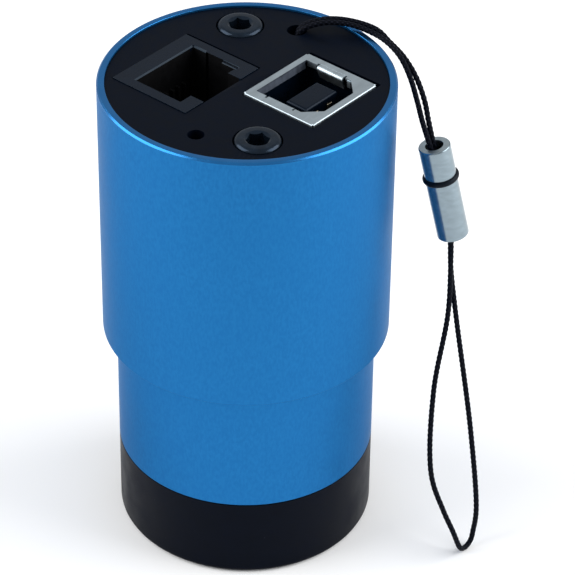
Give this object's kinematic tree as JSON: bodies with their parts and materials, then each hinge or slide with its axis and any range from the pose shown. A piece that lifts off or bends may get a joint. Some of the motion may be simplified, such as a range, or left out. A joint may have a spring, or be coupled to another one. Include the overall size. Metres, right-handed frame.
{
  "type": "guide camera",
  "caption": "Cylindrical telescope guide camera with a stepped eyepiece nose, USB and guide sockets in its rear plate, a push-in dust cap and a wrist lanyard.",
  "frame": {"origin": "centre of the dust cap's flat bottom face, on the optical axis", "axes": "+Z along the optical axis, from the nose towards the rear plate; X and Y along the sides of the two rectangular sockets, with the USB socket towards +X and +Y"},
  "size_m": [0.0463, 0.0363, 0.0638],
  "materials": {
    "blue_anodised": "bead-blasted, blue anodised, satin",
    "black_anodised": "black anodised, satin",
    "cap_plastic": "fine grained matt",
    "black_plastic": "moulded, semi-matt",
    "nickel_sheet": "nickel-plated sheet, satin",
    "toggle_steel": "fine turned, bright",
    "black_screw": "black oxide",
    "standoff_brass": "machined",
    "gold_contact": "gold-plated",
    "circuit_board": "green solder mask",
    "chip_epoxy": "moulded epoxy, matt",
    "crystal_can": "drawn can, bright",
    "window_glass": "polished, coated",
    "rubber": "satin",
    "led_lens": "tinted, clear",
    "cord": "braided nylon"
  },
  "bodies": {
    "camera": {"main_body": "blue_anodised", "nose_barrel": "blue_anodised", "rear_plate": "black_anodised", "plate_screw_1": "black_screw", "plate_screw_2": "black_screw", "upper_standoff_1": "standoff_brass", "upper_standoff_2": "standoff_brass", "middle_standoff_1": "standoff_brass", "middle_standoff_2": "standoff_brass", "lower_standoff_1": "standoff_brass", "lower_standoff_2": "standoff_brass", "window_gasket": "rubber", "window_glass": "window_glass", "window_retainer": "black_anodised", "sensor_board": "circuit_board", "image_sensor": "chip_epoxy", "sensor_cover_glass": "window_glass", "board_connector": "black_plastic", "main_board": "circuit_board", "image_processor": "chip_epoxy", "memory_chip": "chip_epoxy", "voltage_regulator": "chip_epoxy", "usb_controller": "chip_epoxy", "guide_optocoupler": "chip_epoxy", "crystal": "crystal_can", "status_led": "led_lens", "usb_shell": "nickel_sheet", "usb_insert": "black_plastic", "usb_contact_1": "gold_contact", "usb_contact_2": "gold_contact", "usb_contact_3": "gold_contact", "usb_contact_4": "gold_contact", "guide_port_housing": "black_plastic", "guide_port_contact_1": "gold_contact", "guide_port_contact_2": "gold_contact", "guide_port_contact_3": "gold_contact", "guide_port_contact_4": "gold_contact", "guide_port_contact_5": "gold_contact", "guide_port_contact_6": "gold_contact", "lanyard_cord": "cord", "lanyard_knot": "cord"},
    "cap": {"dust_cap": "cap_plastic"},
    "toggle": {"lanyard_toggle": "toggle_steel", "toggle_o_ring": "rubber"}
  },
  "joints": [
    {"name": "dust_cap_pull", "type": "slide", "parent": "cap", "child": "camera", "axis": [0, 0, 1], "range_m": [0, 0.02]},
    {"name": "toggle_slide", "type": "slide", "parent": "camera", "child": "toggle", "axis": [-0.25, -0.11, 0.962], "range_m": [-0.001, 0.004]}
  ]
}
